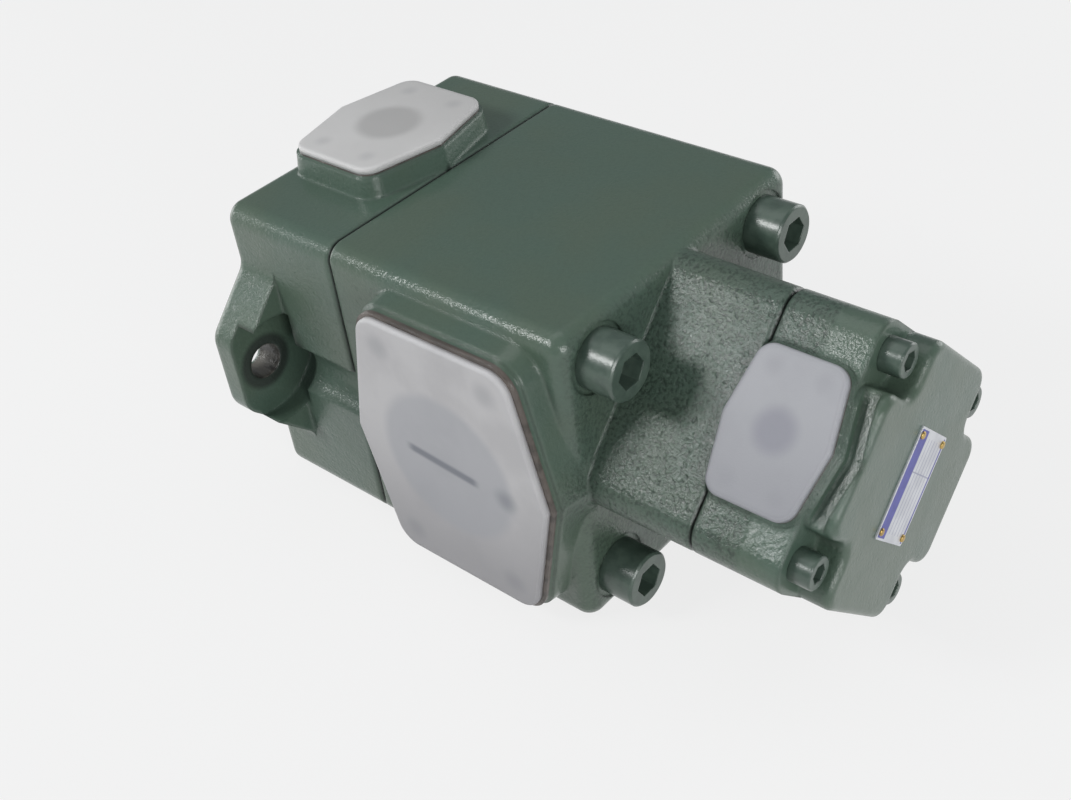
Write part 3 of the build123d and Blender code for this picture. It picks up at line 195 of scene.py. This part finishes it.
def casting_paint(name, land_normal, land_low, land_high, rough, ear_holes=(), soft=0.0026):
    """Semi-gloss green paint over sand-cast iron, bare on the machined land under the port cover.

    rough: (x where the rough skin starts, x where it ends), ear_holes: middles of the flange bolt holes,
    soft: radius of the edges."""
    g = Graph(name)
    x = g.along((1, 0, 0))
    skin = g.math("MULTIPLY", g.ramp(x, rough[0] - SKIN_EDGE, rough[0] + SKIN_EDGE),
                  g.ramp(x, rough[1] + 0.002, rough[1] - 0.001))
    flank = g.math("ADD", g.facing((0, -1, 0), 0.5, 0.9), g.facing((0, 1, 0), 0.5, 0.9))
    patches = g.ramp(g.noise(0.035, detail=2.0), 0.38, 0.62)
    squares = g.vector("MULTIPLY", g.normal, g.normal)
    bevels = g.math("MULTIPLY", g.ramp(g.vector("DOT_PRODUCT", squares, (0, 1, 0)), 0.1, 0.4),
                    g.ramp(g.vector("DOT_PRODUCT", squares, (0, 0, 1)), 0.1, 0.4))
    # how deep the skin's grain is: more on the rough castings, the sides and the sloping faces
    grain = g.math("ADD", 0.07, g.math("MULTIPLY", skin, 0.15))
    grain = g.math("ADD", grain, g.math("MULTIPLY", flank, 0.1))
    grain = g.math("ADD", grain, g.math("MULTIPLY", bevels, 0.08))
    grain = g.math("ADD", grain, g.math("MULTIPLY", patches, 0.07))
    sand = g.noise(0.0017, detail=3.0, roughness=0.6)
    lumps = g.noise(0.0065, detail=2.0)
    waves = g.noise(0.022, detail=1.0)
    peel = g.noise(0.0009, detail=1.0)
    pits = g.ramp(g.noise(0.0034, detail=1.0), 0.36, 0.27)
    height = g.math("ADD", g.math("MULTIPLY", sand, 1.5), g.math("MULTIPLY", lumps, 0.9))
    height = g.math("SUBTRACT", height, g.math("MULTIPLY", pits, 0.35))
    height = g.math("ADD", g.math("MULTIPLY", height, grain), g.math("MULTIPLY", peel, 0.05))
    height = g.math("ADD", height, g.math("MULTIPLY", waves, 0.5))
    # colour: random tone, with painted shade in the grain's hollows and pits and over the whole rough skin,
    # and painted highlights on the grain's crests
    colour = g.mix(g.ramp(g.noise(0.05, detail=3.0), 0.35, 0.65), PAINT, PAINT_WARM)
    hollow_shade = g.math("MAXIMUM", g.ramp(sand, 0.53, 0.38), g.math("MULTIPLY", pits, 0.5))
    painted_shade = g.math("MULTIPLY", hollow_shade, g.math("ADD", 0.07, g.math("MULTIPLY", skin, 0.45)))
    painted_shade = g.math("ADD", painted_shade, g.math("MULTIPLY", skin, 0.22), clamp=True)
    colour = g.mix(painted_shade, colour, PAINT_HOLLOW_SHADE)
    # painted highlight on the grain's crests
    crest_highlight = g.math("MULTIPLY", g.ramp(sand, 0.6, 0.72), g.math("MULTIPLY", grain, 0.8))
    colour = g.mix(crest_highlight, colour, PAINT_CREST_HIGHLIGHT)
    roughness = g.math("ADD", 0.36, g.math("MULTIPLY", g.noise(0.012, detail=3.0), 0.14))
    # shaded joints between the castings
    for seam in (seam_front_x, seam_rear_x):
        away = g.math("ABSOLUTE", g.math("SUBTRACT", x, seam))
        colour = g.mix(g.ramp(away, 0.0011, 0.0004, 0.0, 0.85), colour, SEAM)
    # bare machined land
    height_here = g.along(land_normal)
    bare = g.math("MULTIPLY", g.ramp(height_here, land_low - LAND_SOFT, land_low + LAND_SOFT),
                  g.ramp(height_here, land_high + 0.002, land_high + 0.001))
    stain = g.noise(0.006, detail=4.0, stretch=(0.3, 1, 1))
    iron = g.mix(g.ramp(stain, 0.38, 0.64), BARE_IRON, BARE_IRON_DARK)
    colour = g.mix(bare, colour, iron)
    roughness = g.math("ADD", roughness, g.math("MULTIPLY", bare, 0.12))
    # machined spotfaces round the flange bolt holes, with painted shade in their recess and stained bare
    # walls in the holes
    for hole in ear_holes:
        away = g.vector("DISTANCE", g.vector("MULTIPLY", g.place, (0, 1, 1)), (0, hole[1], hole[2]))
        spotface_shade = g.ramp(away, SPOTFACE_RADIUS + SPOTFACE_SOFT, SPOTFACE_RADIUS - SPOTFACE_SOFT)
        spotface_shade = g.math("MULTIPLY", spotface_shade, g.ramp(x, 0.001, 0.003))
        floor_x = seam_front_x - SCALLOP_GAP
        spotface_shade = g.math("MULTIPLY", spotface_shade, g.ramp(x, floor_x + 0.001, floor_x - 0.001))
        wall = g.math("MULTIPLY", g.ramp(away, 0.0092, 0.0089), g.ramp(x, 0.0009, 0.0012))
        colour = g.mix(g.math("MULTIPLY", spotface_shade, 0.85), colour, SPOTFACE_SHADE)
        colour = g.mix(wall, colour, g.mix(g.ramp(stain, 0.4, 0.6), HOLE_WALL, HOLE_WALL_DARK))
    normal = g.bump(height, 0.0009, 1.0, g.rounded(soft))
    return g.surface(Base_Color=colour, Roughness=roughness, Normal=normal, Specular_IOR_Level=0.3,
                     Coat_Weight=0.6, Coat_Roughness=0.12, Coat_Normal=normal)


def screw_paint():
    """The castings' paint, smoother and a little darker, over the screw heads."""
    g = Graph("screw_paint")
    tint = g.noise(0.006, detail=3.0)
    colour = g.mix(g.ramp(tint, 0.35, 0.65), srgb(66, 82, 73), srgb(78, 94, 84))
    height = g.math("ADD", g.math("MULTIPLY", g.noise(0.0016), 0.5), g.math("MULTIPLY", g.noise(0.006), 0.5))
    normal = g.bump(height, 0.0002, 0.6, g.rounded(0.0009))
    roughness = g.math("ADD", 0.28, g.math("MULTIPLY", tint, 0.12))
    return g.surface(Base_Color=colour, Roughness=roughness, Normal=normal,
                     Coat_Weight=0.3, Coat_Roughness=0.2, Coat_Normal=normal)


def spot(g, centre, radius, soft):
    """1 inside a ball round a point of the frame, soft at its edge."""
    distance = g.vector("DISTANCE", g.place, centre)
    return g.ramp(distance, radius + soft, radius - soft)


def cover_plastic(name, mount, along, across, hole_radius, pale, port_shadow, low_shade_and_mottle, rib=0.0):
    """Frosted translucent plastic: the port and the flange holes under it show as soft shadows.

    along, across: directions of the flange pattern; pale, port_shadow, low_shade_and_mottle: colours of the
    plate, of the painted shadow over the port, and of the painted shade towards the low end that also tints
    the cloudy mottle; rib: half length of the rib whose painted shadow crosses the middle."""
    centre = Vector(mount["pos_m"])
    port_radius = mount["dims"]["r_mm"] / 1000
    hole_half = (mount["dims"]["spacing_x_mm"] / 2000, mount["dims"]["spacing_y_mm"] / 2000)
    g = Graph(name)
    cloud = g.noise(0.03, detail=4.0)
    middle = plane(across, centre)
    # painted shade: the plate gets darker towards its low end; the cloudy mottle below uses the same tone
    low_shade_share = g.ramp(g.along(across), middle + 0.02, middle - hole_half[1] - 0.012)
    colour = g.mix(g.math("MULTIPLY", low_shade_share, 0.8), pale, low_shade_and_mottle)
    colour = g.mix(g.math("MULTIPLY", g.ramp(cloud, 0.6, 0.35), 0.25), colour, low_shade_and_mottle)
    # painted shadow of the port showing through the plate
    inside = spot(g, centre, port_radius, SHADOW_SOFT)
    colour = g.mix(g.math("MULTIPLY", inside, 0.6), colour, port_shadow)
    along, across = Vector(along), Vector(across)
    for first in (-1, 1):
        for second in (-1, 1):
            hole = centre + along * hole_half[0] * first + across * hole_half[1] * second
            mark = spot(g, hole, hole_radius, SHADOW_SOFT)
            colour = g.mix(g.math("MULTIPLY", mark, 0.34), colour, HOLE_SHADOW)
    if rib:
        slope = (along - across * RIB_LEAN).normalized()
        beside = (across + along * RIB_LEAN).normalized()
        start = g.math("ABSOLUTE", g.math("SUBTRACT", g.along(slope), plane(slope, centre) - 0.003))
        off = g.math("ABSOLUTE", g.math("SUBTRACT", g.along(beside), plane(beside, centre)))
        line = g.math("MULTIPLY", g.ramp(start, rib, rib - RIB_SOFT), g.ramp(off, 0.0034, 0.0008))
        colour = g.mix(g.math("MULTIPLY", line, 0.85), colour, RIB_SHADOW)
        far_end = spot(g, centre + slope * (rib + 0.011), 0.0055, 0.004)
        colour = g.mix(g.math("MULTIPLY", far_end, 0.6), colour, RIB_SHADOW)
    soft = g.rounded(0.003)
    # painted highlight: paler along the rounded rim
    rim = g.ramp(g.vector("DOT_PRODUCT", soft, g.normal), 0.995, 0.85)
    colour = g.mix(g.math("MULTIPLY", rim, 0.5), colour, COVER_RIM_HIGHLIGHT)
    height = g.math("ADD", g.noise(0.0008, detail=2.0), g.math("MULTIPLY", g.noise(0.024), 6.0))
    normal = g.bump(height, 0.0001, 0.4, soft)
    return g.surface(Base_Color=colour, Roughness=0.48, Normal=normal, Subsurface_Weight=0.2,
                     Subsurface_Radius=(0.004, 0.004, 0.004), Subsurface_Scale=1.0)


def nameplate_metal():
    """Bare nameplate: a printed blue band along one edge and empty ruled fields on satin aluminium."""
    g = Graph("nameplate")
    n_half, t_half = 0.0155, 0.0245
    rule_pitch, column_t = 0.0034, 0.006
    n = g.math("SUBTRACT", g.along(PORT_NORMAL), plane(PORT_NORMAL, middle_of("nameplate")))
    t = g.math("SUBTRACT", g.along(PLATE_SIDE), plane(PLATE_SIDE, middle_of("nameplate")))
    band = g.ramp(n, n_half * 0.42, n_half * 0.45)
    inner = g.ramp(g.math("ABSOLUTE", t), t_half * 0.965, t_half * 0.955)
    inner = g.math("MULTIPLY", inner, g.ramp(g.math("ABSOLUTE", n), n_half * 0.95, n_half * 0.93))
    far_edge = g.ramp(n, -n_half * 0.84, -n_half * 0.87)
    colour = g.mix(g.ramp(g.noise(0.01, detail=3.0), 0.35, 0.65), PLATE_METAL, PLATE_METAL_DARK)
    printed = g.math("MULTIPLY", g.math("MAXIMUM", band, far_edge), inner)
    rows = g.math("ABSOLUTE", g.math("SINE", g.math("MULTIPLY", n, math.pi / rule_pitch)))
    rules = g.math("MULTIPLY", g.ramp(rows, 0.34, 0.16),
                   g.ramp(g.math("ABSOLUTE", t), t_half * 0.86, t_half * 0.85))
    column = g.math("ABSOLUTE", g.math("SUBTRACT", t, column_t))
    rules = g.math("MAXIMUM", rules, g.ramp(column, 0.0004, 0.0002))
    rules = g.math("MULTIPLY", g.math("MULTIPLY", rules, inner), g.math("SUBTRACT", 1.0, printed))
    colour = g.mix(g.math("MULTIPLY", rules, 0.5), colour, PLATE_RULE)
    ink = g.mix(g.ramp(g.noise(0.004, detail=3.0), 0.35, 0.65), PLATE_INK, PLATE_INK_PALE)
    colour = g.mix(g.math("MULTIPLY", printed, 0.95), colour, ink)
    normal = g.bump(g.noise(0.0006, stretch=(1, 1, 0.1)), 0.0001, 0.15, g.rounded(0.0003))
    metallic = g.math("SUBTRACT", 0.4, g.math("MULTIPLY", printed, 0.4))
    return g.surface(Base_Color=colour, Metallic=metallic, Roughness=0.4, Normal=normal)


def metal(name, colour, second, roughness, grain=0.002, stretch=None, depth=0.0001):
    """Machined metal with fine tool marks and a slight stain."""
    g = Graph(name)
    stain = g.noise(0.015, detail=4.0)
    marks = g.noise(grain, detail=3.0, stretch=stretch)
    blended = g.mix(g.ramp(stain, 0.35, 0.65), colour, second)
    shine = g.math("ADD", roughness - 0.06, g.math("MULTIPLY", marks, 0.12))
    normal = g.bump(marks, depth, 0.25, g.rounded(0.0003))
    return g.surface(Base_Color=blended, Metallic=1.0, Roughness=shine, Normal=normal)


def rubber():
    """Dull black rubber of the seals."""
    g = Graph("seal_rubber")
    colour = g.mix(g.noise(0.004, detail=3.0), srgb(26, 26, 27), srgb(40, 40, 42))
    normal = g.bump(g.noise(0.0005), 0.0001, 0.4)
    return g.surface(Base_Color=colour, Roughness=0.62, Normal=normal)


TURNED = (0.15, 1, 1)       # draws tool marks out along the shaft
materials = {
    "screw_paint": screw_paint(),
    "plate_print": nameplate_metal(),
    "rivet_brass": metal("rivet_brass", srgb(196, 168, 104), srgb(176, 148, 92), 0.36),
    "bearing_steel": metal("bearing_steel", srgb(206, 206, 208), srgb(196, 196, 200), 0.16, 0.001),
    "cage_brass": metal("cage_brass", srgb(214, 180, 104), srgb(196, 160, 90), 0.3, 0.001),
    "blued_steel": metal("blued_steel", srgb(62, 62, 68), srgb(50, 50, 54), 0.4),
    "seal_rubber": rubber(),
    "side_plate_iron": metal("side_plate_iron", srgb(150, 150, 152), srgb(134, 134, 138), 0.32),
    "hardened_steel": metal("hardened_steel", srgb(182, 182, 184), srgb(168, 168, 172), 0.28),
    "bush_bronze": metal("bush_bronze", srgb(200, 160, 104), srgb(180, 142, 92), 0.3),
    "shaft_steel": metal("shaft_steel", srgb(184, 184, 186), srgb(170, 170, 172), 0.26, 0.001, TURNED),
    "vane_steel": metal("vane_steel", srgb(190, 190, 194), srgb(178, 178, 182), 0.24, 0.001),
}

suction = mounts["suction_port"]
discharge = mounts["large_discharge_port"]
small = mounts["small_discharge_port"]
covers = {
    "suction_port_cover": cover_plastic(
        "suction_cover", suction, (1, 0, 0), (0, 0, 1), 0.006,
        pale=srgb(191, 190, 191), port_shadow=srgb(158, 160, 166), low_shade_and_mottle=srgb(148, 147, 150), rib=0.023),
    "large_discharge_cover": cover_plastic(
        "discharge_cover", discharge, (1, 0, 0), (0, -1, 0), 0.0035,
        pale=srgb(203, 202, 201), port_shadow=srgb(158, 157, 156), low_shade_and_mottle=srgb(190, 189, 188)),
    "small_discharge_cover": cover_plastic(
        "small_cover", small, (1, 0, 0), PLATE_SIDE, 0.0035,
        pale=srgb(159, 160, 165), port_shadow=srgb(118, 119, 132), low_shade_and_mottle=srgb(138, 139, 145)),
}
suction_face = plane((0, -1, 0), suction["pos_m"])
top_face = plane((0, 0, 1), discharge["pos_m"])
small_face = plane(PORT_NORMAL, small["pos_m"])
ear_y = mounts["flange_bolts"]["dims"]["spacing_x_mm"] / 2000
ear_holes = [(0, -ear_y, 0), (0, ear_y, 0)]
castings = {
    "front_body": casting_paint("front_casting", (0, 0, 1), top_face - THIN_LAND, top_face,
                                (seam_front_x, seam_front_x), ear_holes),
    "middle_body": casting_paint("middle_casting", (0, -1, 0), suction_face - SUCTION_LAND, suction_face,
                                 (shoulder_x, seam_rear_x)),
    "rear_body": casting_paint("rear_casting", PORT_NORMAL, small_face - THIN_LAND, small_face,
                               (seam_rear_x, seam_rear_x + REAR_SKIN), soft=0.0036),
}

for name, node in nodes.items():
    for holder in node.material_slots:
        slot_name = holder.material.name.split(".")[0]
        holder.material = covers.get(name) or castings.get(name) or materials.get(slot_name)

# ------------------------------------------------------------------ floor
FLOOR_HALF = 30.0
BACKGROUND = 1.0        # brightness of the floor where the camera sees it
HORIZON = 0.85          # and of the world behind its far edge
floor_z = cad_box[0][2]
corners = [(side_x * FLOOR_HALF, side_y * FLOOR_HALF, floor_z)
           for side_x, side_y in ((-1, -1), (1, -1), (1, 1), (-1, 1))]
floor_mesh = bpy.data.meshes.new("floor")
floor_mesh.from_pydata(corners, [], [(0, 1, 2, 3)])
floor = bpy.data.objects.new("floor", floor_mesh)
bpy.context.scene.collection.objects.link(floor)

g = Graph("floor")
paths = g.node("LightPath")
seen = g.math("MAXIMUM", paths.outputs["Is Camera Ray"],
              g.math("MAXIMUM", paths.outputs["Is Glossy Ray"], paths.outputs["Is Transmission Ray"]))
diffuse = g.node("BsdfDiffuse", {"Color": (0.45, 0.45, 0.45)})
glow = g.node("Emission", {"Color": (BACKGROUND,) * 3, "Strength": 1.0})
share = g.math("MULTIPLY", seen, 0.8)
mixed = g.node("MixShader", {0: share, 1: diffuse.outputs[0], 2: glow.outputs[0]})
g.tree.links.new(mixed.outputs[0], g.output.inputs["Surface"])
floor_mesh.materials.append(g.material)

# ------------------------------------------------------------------ world and lamps
world = bpy.data.worlds.new("studio")
bpy.context.scene.world = world
world.use_nodes = True
tree = world.node_tree
tree.nodes.clear()
world_out = tree.nodes.new("ShaderNodeOutputWorld")
dim = tree.nodes.new("ShaderNodeBackground")
dim.inputs["Color"].default_value = (0.9, 0.95, 1.0, 1.0)
dim.inputs["Strength"].default_value = 0.25
pale = tree.nodes.new("ShaderNodeBackground")
pale.inputs["Color"].default_value = (HORIZON, HORIZON, HORIZON, 1.0)
rays = tree.nodes.new("ShaderNodeLightPath")
chooser = tree.nodes.new("ShaderNodeMixShader")
tree.links.new(rays.outputs["Is Camera Ray"], chooser.inputs[0])
tree.links.new(dim.outputs[0], chooser.inputs[1])
tree.links.new(pale.outputs[0], chooser.inputs[2])
tree.links.new(chooser.outputs[0], world_out.inputs["Surface"])

TARGET = Vector((0.1306, -0.0225, -0.0206))      # what the camera and the lamps look at


def softbox(name, direction, distance, width, height, power):
    """Area lamp that looks at the middle of the part."""
    data = bpy.data.lights.new(name, "AREA")
    data.shape = "RECTANGLE"
    data.size, data.size_y = width, height
    data.energy = power
    lamp = bpy.data.objects.new(name, data)
    lamp.location = TARGET + Vector(direction).normalized() * distance
    lamp.rotation_euler = (TARGET - lamp.location).to_track_quat("-Z", "Y").to_euler()
    bpy.context.scene.collection.objects.link(lamp)


softbox("left", (-0.41, -0.64, 0.66), 1.45, 0.4, 0.32, 9.5)
softbox("end", (1.0, -0.45, 0.4), 1.3, 0.5, 0.4, 7.6)
softbox("overhead", (-0.2, 0.1, 1.2), 1.4, 1.2, 0.8, 3)
softbox("far_side", (0.35, 1.0, 0.25), 1.4, 0.8, 0.6, 5)
softbox("shaft_end", (-1.0, -0.2, 0.15), 1.4, 0.8, 0.6, 5)

# ------------------------------------------------------------------ camera
CAMERA_AZIMUTH = math.radians(-44.455)
CAMERA_ELEVATION = math.radians(38.142)
CAMERA_ROLL = math.radians(-7.900)
CAMERA_DISTANCE = 0.6773
CAMERA_LENS = 47.27
CAMERA_SENSOR = 36.0
camera_data = bpy.data.cameras.new("camera")
camera_data.lens = CAMERA_LENS
camera_data.sensor_width = CAMERA_SENSOR
camera = bpy.data.objects.new("camera", camera_data)
bpy.context.scene.collection.objects.link(camera)
back = Vector((math.cos(CAMERA_ELEVATION) * math.cos(CAMERA_AZIMUTH),
               math.cos(CAMERA_ELEVATION) * math.sin(CAMERA_AZIMUTH), math.sin(CAMERA_ELEVATION)))
level_right = Vector((0, 0, 1)).cross(back).normalized()
level_up = back.cross(level_right)
right = level_right * math.cos(CAMERA_ROLL) + level_up * math.sin(CAMERA_ROLL)
up = back.cross(right)
turn = Matrix((right, up, back)).transposed().to_4x4()
camera.matrix_world = Matrix.Translation(TARGET + back * CAMERA_DISTANCE) @ turn
bpy.context.scene.camera = camera

bpy.context.scene.view_settings.view_transform = "Standard"
